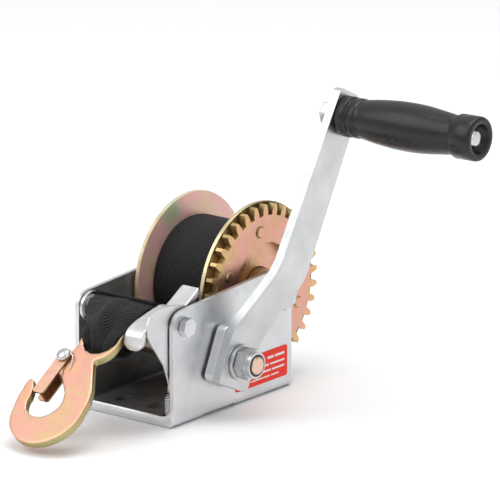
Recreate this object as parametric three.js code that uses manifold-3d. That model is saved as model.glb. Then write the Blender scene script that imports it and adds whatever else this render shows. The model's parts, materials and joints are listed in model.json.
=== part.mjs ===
// Boat trailer winch: a geared hand winch with a webbing strap, a reversible ratchet pawl and a snap hook.
// Millimetres. +Z is up, +X points out of the crank side and +Y points to the rear, where the drum is.
// The origin is on the underside of the base, midway between the side plates and 60 mm behind
// their front edges.
import * as THREE from "three";
import { mergeVertices } from "three/addons/utils/BufferGeometryUtils.js";
import Module from "manifold-3d";

const wasm = await Module();
wasm.setup();

// Driving dimensions.
const GAP = 0.3;
const SHEET = 3.2;
const FRAME_WIDTH = 80;
const FRAME_FRONT = -60;
const SIDE_REAR = 60;
const BASE_REAR = 62;
const SIDE_HEIGHT_FRONT = 74;
const SIDE_HEIGHT_REAR = 82.4;
const BEND_RADIUS = 5;
const STRAP_WIDTH = 50;

// Gear train: diametral pitch 8.
const MODULE = 3.175;
const GEAR_TEETH = 34;
const PINION_TEETH = 8;
const PINION_TIP = 17;
const PROFILE_SHIFT = 0.4;
const BACKLASH = 0.6;
const PRESSURE_ANGLE = THREE.MathUtils.degToRad(20);
const CENTRE_DISTANCE = (MODULE * (GEAR_TEETH + PINION_TEETH)) / 2;
const GEAR_THICKNESS = 5;

// Axes, as (Y, Z) pairs. All of them run along X.
const DRUM_AXIS = new THREE.Vector2(47.6, 64.6);
const PINION_DIRECTION = THREE.MathUtils.degToRad(205.9);
const PINION_AXIS = new THREE.Vector2(
  DRUM_AXIS.x + CENTRE_DISTANCE * Math.cos(PINION_DIRECTION),
  DRUM_AXIS.y + CENTRE_DISTANCE * Math.sin(PINION_DIRECTION),
);
const TIE_AXIS = new THREE.Vector2(-49.2, 64);

// Drum, from the far plate to the near one.
const FAR_FLANGE_X = -34.9;
const FLANGE_SHEET = 2.8;
const FAR_FLANGE_RADIUS = 55.5;
const NEAR_DISC_X = 19.2;
const NEAR_DISC_RADIUS = 57;
const CORE_RADIUS = 14;
const WINDING_RADIUS = 41;
const AXLE_RADIUS = 6;
const GEAR_X = NEAR_DISC_X + FLANGE_SHEET + GAP;
const GEAR_RECESS_RADIUS = 31;
const RIVET_CIRCLE = 39;
const RIVET_COUNT = 6;
const RIVET_PHASE = THREE.MathUtils.degToRad(-24);

// Drive shaft and crank.
const SHAFT_RADIUS = 7;
const STUD_RADIUS = 5.9;
const ARM_TILT = THREE.MathUtils.degToRad(24.9);
const CRANK_RADIUS = 165;
const ARM_FOOT_WIDTH = 31;
const ARM_TOP_WIDTH = 24.5;
const ARM_THICKNESS = 6;
const ARM_FOOT_X = 49;
const HUB_THICKNESS = 7.2;
const ARM_FOOT_BELOW = 17;
const ARM_FOOT_ABOVE = 18;
const ARM_BEND_ALONG = 60;
const ARM_OFFSET = 21.7;
const ARM_LEAN = THREE.MathUtils.degToRad(3.8);
const ARM_PAST_GRIP = 15.6;
const GRIP_LENGTH = 102.5;
const GRIP_BOLT_RADIUS = 4;

// Pawl.
const PAWL_TAB_X = 20;
const PAWL_X = 29.3;
const PAWL_THICKNESS = 5;
const TAB_THICKNESS = 4.5;

// Hook, in its own plane: x runs across it, and the second number runs from near the eye to the bowl.
const HOOK_EYE = new THREE.Vector3(-2, -85, 57.5);
const HOOK_LEAN = THREE.MathUtils.degToRad(36.8);
const HOOK_TURN = THREE.MathUtils.degToRad(3.8);
const HOOK_THICKNESS = 5.6;
const EYE_ACROSS = 6.7;
const EYE_LONG = 1.7;
const EYE_INNER = 11.9;
const EYE_ENDS = [-1.5, 4.8];
const EYE_OUTER = 14.5;
const BOWL = new THREE.Vector3(-0.7, 60.8, 25.6);
const THROAT = new THREE.Vector3(-6.5, 54, 12.5);
const LATCH_PIVOT = new THREE.Vector2(-10.5, 20);
const LATCH_END = new THREE.Vector2(-13.8, 48.5);

const COLOURS = {
  zinc: { color: 0xd3d6da, roughness: 0.35, metalness: 0.9 },
  steel: { color: 0xc4c7cb, roughness: 0.3, metalness: 0.95 },
  yellowZinc: { color: 0xd99a72, roughness: 0.35, metalness: 0.85 },
  pinkZinc: { color: 0xe1a79a, roughness: 0.35, metalness: 0.85 },
  webbing: { color: 0x26262a, roughness: 0.95, metalness: 0 },
  plastic: { color: 0x2e2f32, roughness: 0.55, metalness: 0 },
  label: { color: 0xe0412d, roughness: 0.5, metalness: 0 },
};

const model = new THREE.Group();

// ---------------------------------------------------------------- solids

function solid(geometry) {
  const bare = geometry.index ? geometry.toNonIndexed() : geometry.clone();
  bare.deleteAttribute("normal");
  bare.deleteAttribute("uv");
  const merged = mergeVertices(bare, 1e-4);
  const mesh = new wasm.Mesh({
    numProp: 3,
    vertProperties: Float32Array.from(merged.attributes.position.array),
    triVerts: Uint32Array.from(merged.index.array),
  });
  return new wasm.Manifold(mesh);
}

function geometryOf(body) {
  const mesh = body.getMesh();
  const geometry = new THREE.BufferGeometry();
  geometry.setAttribute("position", new THREE.BufferAttribute(mesh.vertProperties, 3));
  geometry.setIndex(new THREE.BufferAttribute(mesh.triVerts, 1));
  geometry.computeVertexNormals();
  return geometry;
}

function cut(geometry, ...tools) {
  const start = solid(geometry);
  return geometryOf(tools.reduce((body, tool) => body.subtract(solid(tool)), start));
}

function join(...geometries) {
  return geometryOf(geometries.map(solid).reduce((body, next) => body.add(next)));
}

function common(first, second) {
  return geometryOf(solid(first).intersect(solid(second)));
}

function add(name, geometry, look, parent = model) {
  const mesh = new THREE.Mesh(geometry, new THREE.MeshStandardMaterial(COLOURS[look]));
  mesh.name = name;
  parent.add(mesh);
  return mesh;
}

// A flat outline in (Y, Z), from x to x + depth.
function alongX(shape, x, depth, curveSegments = 12) {
  const geometry = new THREE.ExtrudeGeometry(shape, { depth, bevelEnabled: false, curveSegments });
  const basis = new THREE.Matrix4().makeBasis(
    new THREE.Vector3(0, 1, 0),
    new THREE.Vector3(0, 0, 1),
    new THREE.Vector3(1, 0, 0),
  );
  return geometry.applyMatrix4(basis).translate(x, 0, 0);
}

// A flat outline in (X, Z), from y to y + depth.
function alongY(shape, y, depth, curveSegments = 12) {
  const geometry = new THREE.ExtrudeGeometry(shape, { depth, bevelEnabled: false, curveSegments });
  const basis = new THREE.Matrix4().makeBasis(
    new THREE.Vector3(1, 0, 0),
    new THREE.Vector3(0, 0, 1),
    new THREE.Vector3(0, -1, 0),
  );
  return geometry.applyMatrix4(basis).translate(0, y + depth, 0);
}

// A flat outline in (X, Y), from z to z + depth.
function alongZ(shape, z, depth, curveSegments = 12) {
  const geometry = new THREE.ExtrudeGeometry(shape, { depth, bevelEnabled: false, curveSegments });
  return geometry.translate(0, 0, z);
}

// A body of revolution about X through a (Y, Z) point, from [x, radius] pairs given from low x to high x.
function turned(profile, axis, segments = 24) {
  const points = profile.map(([x, radius]) => new THREE.Vector2(radius, x));
  const basis = new THREE.Matrix4().makeBasis(
    new THREE.Vector3(0, 0, 1),
    new THREE.Vector3(1, 0, 0),
    new THREE.Vector3(0, 1, 0),
  );
  return new THREE.LatheGeometry(points, segments).applyMatrix4(basis).translate(0, axis.x, axis.y);
}

function rod(x0, x1, radius, axis, segments = 24) {
  return turned([[x0, 0], [x0, radius], [x1, radius], [x1, 0]], axis, segments);
}

function ring(x0, x1, inner, outer, axis, segments = 24) {
  return turned([[x0, inner], [x0, outer], [x1, outer], [x1, inner], [x0, inner]], axis, segments);
}

function hexagon(x0, x1, acrossFlats, axis, turn = 0) {
  const shape = new THREE.Shape();
  const corner = acrossFlats / Math.sqrt(3);
  for (let i = 0; i < 6; i += 1) {
    const angle = turn + (i * Math.PI) / 3;
    const point = [axis.x + corner * Math.cos(angle), axis.y + corner * Math.sin(angle)];
    i === 0 ? shape.moveTo(...point) : shape.lineTo(...point);
  }
  shape.closePath();
  return alongX(shape, x0, x1 - x0);
}

function roundedRectangle(x0, y0, x1, y1, radius) {
  const shape = new THREE.Shape();
  shape.moveTo(x0 + radius, y0);
  shape.lineTo(x1 - radius, y0);
  shape.absarc(x1 - radius, y0 + radius, radius, -Math.PI / 2, 0, false);
  shape.lineTo(x1, y1 - radius);
  shape.absarc(x1 - radius, y1 - radius, radius, 0, Math.PI / 2, false);
  shape.lineTo(x0 + radius, y1);
  shape.absarc(x0 + radius, y1 - radius, radius, Math.PI / 2, Math.PI, false);
  shape.lineTo(x0, y0 + radius);
  shape.absarc(x0 + radius, y0 + radius, radius, Math.PI, 1.5 * Math.PI, false);
  return shape;
}

function polygon(points) {
  return new THREE.Shape(points.map(([a, b]) => new THREE.Vector2(a, b)));
}

// The corners of a path rounded with short curves.
function rounded(path, radius, steps = 5) {
  const corners = path.map(([a, b]) => new THREE.Vector2(a, b));
  const points = [corners[0]];
  for (let i = 1; i < corners.length - 1; i += 1) {
    const reach = Math.min(
      radius,
      corners[i].distanceTo(corners[i - 1]) / 2.05,
      corners[i].distanceTo(corners[i + 1]) / 2.05,
    );
    const into = corners[i].clone().lerp(corners[i - 1], reach / corners[i].distanceTo(corners[i - 1]));
    const out = corners[i].clone().lerp(corners[i + 1], reach / corners[i].distanceTo(corners[i + 1]));
    points.push(...new THREE.QuadraticBezierCurve(into, corners[i], out).getPoints(steps));
  }
  points.push(corners.at(-1));
  return points;
}

// The outline of a strip that follows a path, with the same thickness all along it.
function strip(points, thickness) {
  const left = [];
  const right = [];
  points.forEach((point, i) => {
    const before = points[Math.max(i - 1, 0)];
    const after = points[Math.min(i + 1, points.length - 1)];
    const across = after.clone().sub(before).normalize();
    const normal = new THREE.Vector2(-across.y, across.x).multiplyScalar(thickness / 2);
    left.push(point.clone().add(normal));
    right.push(point.clone().sub(normal));
  });
  return new THREE.Shape([...right, ...left.reverse()]);
}

// ---------------------------------------------------------------- frame

function sideOutline() {
  const front = FRAME_FRONT;
  const rear = SIDE_REAR;
  const corner = 11;
  const shape = new THREE.Shape();
  shape.moveTo(front, -1);
  shape.lineTo(rear, -1);
  shape.lineTo(rear, SIDE_HEIGHT_REAR - corner);
  shape.quadraticCurveTo(rear, SIDE_HEIGHT_REAR, rear - corner, SIDE_HEIGHT_REAR - 0.8);
  shape.lineTo(front + corner, SIDE_HEIGHT_FRONT + 0.8);
  shape.quadraticCurveTo(front, SIDE_HEIGHT_FRONT, front, SIDE_HEIGHT_FRONT - corner);
  shape.closePath();
  return shape;
}

function baseOutline() {
  const half = FRAME_WIDTH / 2 + 1;
  return roundedRectangle(-half, FRAME_FRONT, half, BASE_REAR, 3);
}

function channelSection() {
  const half = FRAME_WIDTH / 2;
  const inner = BEND_RADIUS - SHEET;
  const top = SIDE_HEIGHT_REAR + 5;
  const shape = new THREE.Shape();
  shape.moveTo(-half, top);
  shape.lineTo(-half, BEND_RADIUS);
  shape.absarc(-half + BEND_RADIUS, BEND_RADIUS, BEND_RADIUS, Math.PI, 1.5 * Math.PI, false);
  shape.lineTo(half - BEND_RADIUS, 0);
  shape.absarc(half - BEND_RADIUS, BEND_RADIUS, BEND_RADIUS, -Math.PI / 2, 0, false);
  shape.lineTo(half, top);
  shape.lineTo(half - SHEET, top);
  shape.lineTo(half - SHEET, BEND_RADIUS);
  shape.absarc(half - BEND_RADIUS, BEND_RADIUS, inner, 0, -Math.PI / 2, true);
  shape.lineTo(-half + BEND_RADIUS, SHEET);
  shape.absarc(-half + BEND_RADIUS, BEND_RADIUS, inner, 1.5 * Math.PI, Math.PI, true);
  shape.lineTo(-half + SHEET, top);
  shape.closePath();
  return shape;
}

const SLOTS = [[-13, -44], [13, -44], [0, 38]];
const SLOT_HALF_WIDTH = 4.5;
const SLOT_HALF_LENGTH = 7;
const ARCH_FROM = -30;
const ARCH_TO = 2;
const ARCH_RISE = 2.3;
const SPRING_HOLE = new THREE.Vector3(32.8, -55.5, 0);

function slot([x, y]) {
  const shape = roundedRectangle(
    x - SLOT_HALF_WIDTH,
    y - SLOT_HALF_LENGTH,
    x + SLOT_HALF_WIDTH,
    y + SLOT_HALF_LENGTH,
    SLOT_HALF_WIDTH - 0.01,
  );
  return alongZ(shape, -2, 12, 4);
}

function arch(side) {
  const outline = polygon([
    [ARCH_FROM - 3, -1],
    [ARCH_TO + 3, -1],
    [ARCH_TO, ARCH_RISE],
    [ARCH_FROM, ARCH_RISE],
  ]);
  const x = side > 0 ? FRAME_WIDTH / 2 - BEND_RADIUS : -FRAME_WIDTH / 2 - 1;
  return alongX(outline, x, BEND_RADIUS + 1);
}

function buildFrame() {
  const half = FRAME_WIDTH / 2 + 1;
  const channel = alongY(channelSection(), FRAME_FRONT, BASE_REAR - FRAME_FRONT, 5);
  const sides = alongX(sideOutline(), -half, 2 * half, 6);
  const base = alongZ(baseOutline(), -1, BEND_RADIUS + 1, 4);
  const outline = join(sides, base);
  const hole = (axis, radius) => rod(-half, half, radius + GAP, axis, 20);
  const springHole = new THREE.CylinderGeometry(2, 2, 12, 12)
    .rotateX(Math.PI / 2)
    .translate(SPRING_HOLE.x, SPRING_HOLE.y, 0);
  const frame = cut(
    common(channel, outline),
    hole(DRUM_AXIS, AXLE_RADIUS),
    hole(PINION_AXIS, SHAFT_RADIUS + 2),
    hole(TIE_AXIS, 4),
    ...SLOTS.map(slot),
    arch(1),
    arch(-1),
    springHole,
  );
  add("frame", frame, "zinc");
}

function buildBasePlate() {
  const half = FRAME_WIDTH / 2 - BEND_RADIUS - 6;
  const shape = roundedRectangle(-half, FRAME_FRONT, half, BASE_REAR - 6, 3);
  const plate = alongZ(shape, SHEET + GAP, SHEET, 4);
  add("base_plate", cut(plate, ...SLOTS.map(slot)), "zinc");
}

function buildLabel() {
  const shape = roundedRectangle(2, 8.8, 55, 29.2, 1.5);
  add("label", alongX(shape, FRAME_WIDTH / 2 + 0.05, 0.4, 3), "label");
}

// ---------------------------------------------------------------- tie bolt at the front

function buildTie() {
  const outer = FRAME_WIDTH / 2;
  const inner = outer - SHEET;
  const head = hexagon(outer + GAP, outer + 5, 11, TIE_AXIS, 0.2);
  const shank = rod(-outer - 0.2, outer + 2, 4, TIE_AXIS);
  add("tie_bolt", join(head, shank), "steel");
  add("tie_tube", ring(-inner + 3, PAWL_TAB_X - 0.4, 4 + GAP, 8, TIE_AXIS), "zinc");
  add("tie_bush", ring(-inner + GAP, -inner + 3 - GAP, 4 + GAP, 10.5, TIE_AXIS), "steel");
}

// ---------------------------------------------------------------- gears

function involute(angle) {
  return Math.tan(angle) - angle;
}

// The outline of a spur gear in (Y, Z), with one tooth centred on the phase angle.
function gearOutline(teeth, shift, centre, phase, tipLimit) {
  const pitch = (MODULE * teeth) / 2;
  const base = pitch * Math.cos(PRESSURE_ANGLE);
  const tip = Math.min(pitch + MODULE * (1 + shift), tipLimit);
  const root = pitch - MODULE * (1.25 - shift);
  const thickness = MODULE * (Math.PI / 2 + 2 * shift * Math.tan(PRESSURE_ANGLE)) - BACKLASH / 2;
  const halfAt = (radius) => {
    const pressure = Math.acos(Math.min(1, base / Math.max(radius, base)));
    return thickness / (2 * pitch) + involute(PRESSURE_ANGLE) - involute(pressure);
  };
  const start = Math.max(root, base);
  const radii = [root, start + 0.02, start + (tip - start) * 0.55, tip];
  const shape = new THREE.Shape();
  for (let tooth = 0; tooth < teeth; tooth += 1) {
    const middle = phase + (tooth * 2 * Math.PI) / teeth;
    const flank = radii.map((radius) => [radius, halfAt(radius)]);
    const rising = flank.map(([radius, half]) => [radius, middle - half]);
    const falling = flank.map(([radius, half]) => [radius, middle + half]).reverse();
    [...rising, ...falling].forEach(([radius, angle], i) => {
      const point = [centre.x + radius * Math.cos(angle), centre.y + radius * Math.sin(angle)];
      tooth === 0 && i === 0 ? shape.moveTo(...point) : shape.lineTo(...point);
    });
  }
  shape.closePath();
  return shape;
}

// At rest a gap of the pinion waits beside the line to the tie bolt, where the pawl's nose comes in.
const PAWL_ENTRY = THREE.MathUtils.degToRad(20.3);
const TO_TIE = Math.atan2(TIE_AXIS.y - PINION_AXIS.y, TIE_AXIS.x - PINION_AXIS.x);
const PINION_GAP = TO_TIE - PAWL_ENTRY;
const PINION_PHASE = PINION_GAP + Math.PI / PINION_TEETH;
const PINION_TURN = PINION_GAP - (PINION_DIRECTION + Math.PI);
const GEAR_PHASE = PINION_DIRECTION - (PINION_TURN * PINION_TEETH) / GEAR_TEETH;

// ---------------------------------------------------------------- drum

function rivetCentre(i) {
  const angle = RIVET_PHASE + (i * 2 * Math.PI) / RIVET_COUNT;
  return new THREE.Vector2(
    DRUM_AXIS.x + RIVET_CIRCLE * Math.cos(angle),
    DRUM_AXIS.y + RIVET_CIRCLE * Math.sin(angle),
  );
}

const RIVET_SHANK = 2.8;
const RIVET_HEAD = 4.2;

function buildDrum() {
  const bore = CORE_RADIUS + GAP;
  const farEnd = FAR_FLANGE_X + FLANGE_SHEET;
  const farFlange = ring(FAR_FLANGE_X, farEnd, bore, FAR_FLANGE_RADIUS, DRUM_AXIS, 56);
  add("drum_far_flange", farFlange, "pinkZinc");
  const rivetHoles = Array.from({ length: RIVET_COUNT }, (_, i) => {
    return rod(NEAR_DISC_X - 1, GEAR_X + GEAR_THICKNESS + 1, RIVET_SHANK + GAP, rivetCentre(i), 12);
  });
  const disc = ring(NEAR_DISC_X, NEAR_DISC_X + FLANGE_SHEET, bore, NEAR_DISC_RADIUS, DRUM_AXIS, 56);
  add("drum_near_disc", cut(disc, ...rivetHoles), "yellowZinc");
  const outline = gearOutline(GEAR_TEETH, -PROFILE_SHIFT, DRUM_AXIS, GEAR_PHASE, Infinity);
  const gear = alongX(outline, GEAR_X, GEAR_THICKNESS);
  const recess = rod(GEAR_X - 1, GEAR_X + GEAR_THICKNESS + 1, GEAR_RECESS_RADIUS, DRUM_AXIS, 48);
  add("drum_gear", cut(gear, recess, ...rivetHoles), "yellowZinc");
  const coreEnd = GEAR_X + GEAR_THICKNESS + 1;
  const core = ring(FAR_FLANGE_X - 0.6, coreEnd, AXLE_RADIUS + GAP, CORE_RADIUS, DRUM_AXIS);
  add("drum_core", core, "yellowZinc");
  for (let i = 0; i < RIVET_COUNT; i += 1) {
    const from = NEAR_DISC_X - 1.2;
    const to = GEAR_X + GEAR_THICKNESS + 1.2;
    const profile = [
      [from, 0],
      [from, RIVET_HEAD - 1],
      [NEAR_DISC_X - GAP, RIVET_HEAD],
      [NEAR_DISC_X - GAP, RIVET_SHANK],
      [GEAR_X + GEAR_THICKNESS + GAP, RIVET_SHANK],
      [GEAR_X + GEAR_THICKNESS + GAP, RIVET_HEAD],
      [to, RIVET_HEAD - 1],
      [to, 0],
    ];
    add(`gear_rivet_${i + 1}`, turned(profile, rivetCentre(i), 12), "yellowZinc");
  }
}

function windingSpan() {
  const inside = FAR_FLANGE_X + FLANGE_SHEET;
  const middle = (inside + NEAR_DISC_X) / 2;
  return [middle - STRAP_WIDTH / 2, middle + STRAP_WIDTH / 2];
}

function buildWinding() {
  const [from, to] = windingSpan();
  const clear = 1.8;
  const middle = CORE_RADIUS + GAP;
  const profile = [
    [from, middle],
    [from, WINDING_RADIUS - 1],
    [from + 1, WINDING_RADIUS],
    [to - clear - 1, WINDING_RADIUS],
    [to - clear, WINDING_RADIUS - 1],
    [to - clear, middle],
    [from, middle],
  ];
  add("strap_winding", turned(profile, DRUM_AXIS, 48), "webbing");
}

function buildAxle() {
  const outer = FRAME_WIDTH / 2;
  const inner = outer - SHEET;
  const head = hexagon(outer + GAP, outer + 7, 18, DRUM_AXIS, 0.3);
  const shank = rod(-outer - 12, outer + 2, AXLE_RADIUS, DRUM_AXIS);
  add("drum_axle_bolt", join(head, shank), "steel");
  const nut = hexagon(-outer - 10, -outer - GAP, 18, DRUM_AXIS);
  add("drum_axle_nut", cut(nut, rod(-outer - 14, -outer + 2, AXLE_RADIUS + GAP, DRUM_AXIS)), "steel");
  const coreEnd = GEAR_X + GEAR_THICKNESS + 1;
  add("drum_spacer", ring(coreEnd + GAP, inner - GAP, AXLE_RADIUS + GAP, 10, DRUM_AXIS), "steel");
}

// ---------------------------------------------------------------- drive shaft and pinion

function buildShaft() {
  const outer = FRAME_WIDTH / 2;
  const inner = outer - SHEET;
  const profile = [
    [-outer - 7, 0],
    [-outer - 7, SHAFT_RADIUS],
    [ARM_FOOT_X - HUB_THICKNESS - 3 * GAP, SHAFT_RADIUS],
    [ARM_FOOT_X - HUB_THICKNESS - 3 * GAP, STUD_RADIUS],
    [ARM_FOOT_X + ARM_THICKNESS + 14, STUD_RADIUS],
    [ARM_FOOT_X + ARM_THICKNESS + 15, STUD_RADIUS - 1],
    [ARM_FOOT_X + ARM_THICKNESS + 15, 0],
  ];
  add("drive_shaft", turned(profile, PINION_AXIS), "steel");
  const outline = gearOutline(PINION_TEETH, PROFILE_SHIFT, PINION_AXIS, PINION_PHASE, PINION_TIP);
  const pinion = alongX(outline, GEAR_X + 0.1, PAWL_X + PAWL_THICKNESS - GEAR_X);
  const bore = rod(GEAR_X - 2, outer, SHAFT_RADIUS + GAP, PINION_AXIS);
  add("pinion", cut(pinion, bore), "steel");
  const bush = (side) => {
    const flange = [inner - 1.2, inner - GAP].map((x) => x * side);
    const sleeve = [inner - GAP, outer + 1.2].map((x) => x * side);
    const reach = SHAFT_RADIUS + GAP;
    const [f0, f1] = side > 0 ? flange : flange.reverse();
    const [s0, s1] = side > 0 ? sleeve : sleeve.reverse();
    return join(
      ring(f0, f1 + (side > 0 ? 0.1 : 0), reach, reach + 4, PINION_AXIS),
      ring(s0 - (side > 0 ? 0.1 : 0), s1 + (side > 0 ? 0 : 0.1), reach, SHAFT_RADIUS + 2, PINION_AXIS),
    );
  };
  add("shaft_bush_near", bush(1), "steel");
  add("shaft_bush_far", bush(-1), "steel");
  add("shaft_collar", ring(-outer - 5, -outer - 1.6, SHAFT_RADIUS + GAP, 11, PINION_AXIS), "steel");
}

// ------------------------------------------ crank, in a group that leans back about the drive shaft

const crank = new THREE.Group();
crank.position.set(0, PINION_AXIS.x, PINION_AXIS.y);
crank.rotation.x = -ARM_TILT;
model.add(crank);

const CENTRE = new THREE.Vector2(0, 0);
const GRIP_AXIS = new THREE.Vector2(0, CRANK_RADIUS);
const armTop = CRANK_RADIUS + ARM_PAST_GRIP;
const armTopX = ARM_FOOT_X + ARM_THICKNESS / 2 + ARM_OFFSET + Math.tan(ARM_LEAN) * (armTop - ARM_BEND_ALONG);
const gripFaceX = armTopX - Math.tan(ARM_LEAN) * ARM_PAST_GRIP + ARM_THICKNESS / 2;

function buildArm() {
  const middle = ARM_FOOT_X + ARM_THICKNESS / 2;
  const path = [
    [middle, -ARM_FOOT_BELOW],
    [middle, ARM_FOOT_ABOVE],
    [middle + ARM_OFFSET, ARM_BEND_ALONG],
    [armTopX, armTop],
  ];
  const foot = ARM_FOOT_WIDTH / 2;
  const top = ARM_TOP_WIDTH / 2;
  const rearCorner = 10;
  const frontCorner = 4;
  const side = alongY(strip(rounded(path, 9), ARM_THICKNESS), -2 * foot, 4 * foot);
  const face = new THREE.Shape();
  face.moveTo(-foot + 2, -ARM_FOOT_BELOW);
  face.lineTo(foot - 2, -ARM_FOOT_BELOW);
  face.quadraticCurveTo(foot, -ARM_FOOT_BELOW, foot, -ARM_FOOT_BELOW + 2);
  face.lineTo(foot, ARM_FOOT_ABOVE);
  face.lineTo(top, armTop - rearCorner);
  face.absarc(top - rearCorner, armTop - rearCorner, rearCorner, 0, Math.PI / 2, false);
  face.lineTo(frontCorner - top, armTop);
  face.absarc(frontCorner - top, armTop - frontCorner, frontCorner, Math.PI / 2, Math.PI, false);
  face.lineTo(-foot, ARM_FOOT_ABOVE);
  face.lineTo(-foot, -ARM_FOOT_BELOW + 2);
  face.quadraticCurveTo(-foot, -ARM_FOOT_BELOW, -foot + 2, -ARM_FOOT_BELOW);
  const outline = alongX(face, ARM_FOOT_X - 20, 70, 8);
  const arm = cut(
    common(side, outline),
    rod(ARM_FOOT_X - 10, ARM_FOOT_X + 10, STUD_RADIUS + GAP, CENTRE),
    rod(ARM_FOOT_X, gripFaceX + 10, GRIP_BOLT_RADIUS + GAP, GRIP_AXIS),
  );
  add("crank_arm", arm, "zinc", crank);
}

function buildHub() {
  const half = ARM_FOOT_WIDTH / 2 - 0.5;
  const shape = roundedRectangle(-half, -ARM_FOOT_BELOW, half, ARM_FOOT_ABOVE + 2, 5);
  const block = alongX(shape, ARM_FOOT_X - HUB_THICKNESS - GAP, HUB_THICKNESS, 4);
  const bore = rod(ARM_FOOT_X - 10, ARM_FOOT_X + 2, STUD_RADIUS + GAP, CENTRE);
  add("crank_hub", cut(block, bore), "zinc", crank);
  const face = ARM_FOOT_X + ARM_THICKNESS;
  add("crank_washer", ring(face + GAP, face + 2.5, STUD_RADIUS + GAP, 11.5, CENTRE), "steel", crank);
  const hex = hexagon(face + 2.8, face + 10.5, 18, CENTRE, 0.5);
  const collar = rod(face + 10, face + 13.5, 8.6, CENTRE);
  const thread = rod(face, face + 20, STUD_RADIUS + GAP, CENTRE);
  add("crank_nut", cut(join(hex, collar), thread), "steel", crank);
}

const GRIP_X = gripFaceX + 1.2;
const GRIP_PROFILE = [
  [0, 12.9],
  [5.8, 12.9],
  [6.5, 11.6],
  [8.3, 11.6],
  [9, 12.7],
  [13, 12.7],
  [14.2, 12.1],
  [21.4, 13.3],
  [31, 14.4],
  [41.6, 15.2],
  [52, 15.35],
  [61.8, 14.95],
  [72, 13.8],
  [82, 12.6],
  [86.5, 12.2],
  [87.2, 13.4],
  [88.2, 14],
  [101.5, 14],
  [GRIP_LENGTH, 13.2],
];
const GRIP_RECESS_RADIUS = 9.4;
const GRIP_RECESS_DEPTH = 7;

function buildGrip() {
  const bore = GRIP_BOLT_RADIUS + GAP;
  const end = GRIP_X + GRIP_LENGTH;
  const outside = GRIP_PROFILE.map(([along, radius]) => [GRIP_X + along, radius]);
  const profile = [
    [GRIP_X, bore],
    ...outside,
    [end, GRIP_RECESS_RADIUS],
    [end - GRIP_RECESS_DEPTH, GRIP_RECESS_RADIUS],
    [end - GRIP_RECESS_DEPTH, bore],
    [GRIP_X, bore],
  ];
  add("grip", turned(profile, GRIP_AXIS), "plastic", crank);
  const headBase = end - GRIP_RECESS_DEPTH + GAP;
  const inside = gripFaceX - ARM_THICKNESS;
  const bolt = [
    [inside - 10.5, 0],
    [inside - 10.5, GRIP_BOLT_RADIUS],
    [headBase, GRIP_BOLT_RADIUS],
    [headBase, 6],
    [headBase + 2.5, 6],
    [headBase + 4, 4.4],
    [headBase + 4.4, 0],
  ];
  add("grip_bolt", turned(bolt, GRIP_AXIS), "steel", crank);
  const nut = hexagon(inside - 9, inside - 2.4, 13, GRIP_AXIS, 0.2);
  const thread = rod(inside - 20, inside, GRIP_BOLT_RADIUS + GAP, GRIP_AXIS);
  add("grip_nut", cut(nut, thread), "steel", crank);
  const washer = ring(inside - 2.1, inside - 0.9, GRIP_BOLT_RADIUS + GAP, 8.5, GRIP_AXIS);
  add("grip_washer", washer, "steel", crank);
}

// ---------------------------------------------------------------- ratchet pawl

const PAWL_NOSE_TURN = THREE.MathUtils.degToRad(21);
const PAWL_HUB_RADIUS = 11;
const PAWL_NOSE_REACH = 33;
const REAR_TAB = [
  [-25.5, 81.3],
  [-37, 74.3],
  [-45, 70],
];
const FRONT_TAB = [
  [-48, 72],
  [-53, 72.3],
  [-66, 69.3],
  [-75, 67],
  [-81.5, 63.5],
  [-82.4, 57],
  [-82, 54],
];

// The outline points are polar about the tie bolt: [degrees, radius].
function buildPawl() {
  const toPinion = Math.atan2(PINION_AXIS.y - TIE_AXIS.y, PINION_AXIS.x - TIE_AXIS.x);
  const nose = THREE.MathUtils.radToDeg(toPinion + PAWL_NOSE_TURN);
  const place = ([degrees, radius]) => {
    const angle = THREE.MathUtils.degToRad(degrees);
    return [TIE_AXIS.x + radius * Math.cos(angle), TIE_AXIS.y + radius * Math.sin(angle)];
  };
  const blade = polygon([
    [nose - 52, 8],
    [nose - 22, 15],
    [nose - 3.2, PAWL_NOSE_REACH],
    [nose + 3.2, PAWL_NOSE_REACH],
    [nose + 10, 24],
    [nose + 30, 11],
  ].map(place));
  const width = PAWL_X + PAWL_THICKNESS - PAWL_TAB_X;
  const hub = rod(PAWL_TAB_X, PAWL_X + PAWL_THICKNESS, PAWL_HUB_RADIUS, TIE_AXIS, 32);
  const bent = (path) => alongX(strip(rounded(path, 5, 3), TAB_THICKNESS), PAWL_TAB_X, width);
  const right = PAWL_TAB_X + width;
  const tabs = [
    common(bent(REAR_TAB), alongZ(roundedRectangle(PAWL_TAB_X, -60, right, -25, 4), 40, 60, 5)),
    common(bent(FRONT_TAB), alongY(roundedRectangle(PAWL_TAB_X, 54, right, 90, 5.5), -95, 60, 5)),
  ];
  const bore = rod(PAWL_TAB_X - 2, PAWL_X + 10, 4 + GAP, TIE_AXIS);
  add("pawl", cut(join(hub, alongX(blade, PAWL_X, PAWL_THICKNESS), ...tabs), bore), "zinc");
}

const TAIL_OUTLINE = [
  [-57.3, 22.6],
  [-54.2, 23.6],
  [-53.6, 32],
  [-51, 42],
  [-44, 50],
  [-37.5, 57],
  [-37.5, 70],
  [-44, 76.4],
  [-58, 78.6],
  [-70, 78.4],
  [-77.5, 75.5],
  [-80, 70.6],
  [-78.9, 61.8],
  [-73.6, 54.3],
  [-64.1, 41.5],
  [-59.6, 30],
];
const TAIL_X = PAWL_X + PAWL_THICKNESS + GAP;
const TAIL_THICKNESS = 1.4;
const SPRING_TOP = new THREE.Vector2(-56.4, 25.6);

function buildTailPlate() {
  const plate = alongX(polygon(TAIL_OUTLINE), TAIL_X, TAIL_THICKNESS);
  const bore = rod(TAIL_X - 2, TAIL_X + 4, 4 + GAP, TIE_AXIS);
  const eye = rod(TAIL_X - 2, TAIL_X + 4, 1.2, SPRING_TOP, 12);
  add("pawl_tail_plate", cut(plate, bore, eye), "zinc");
}

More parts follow.
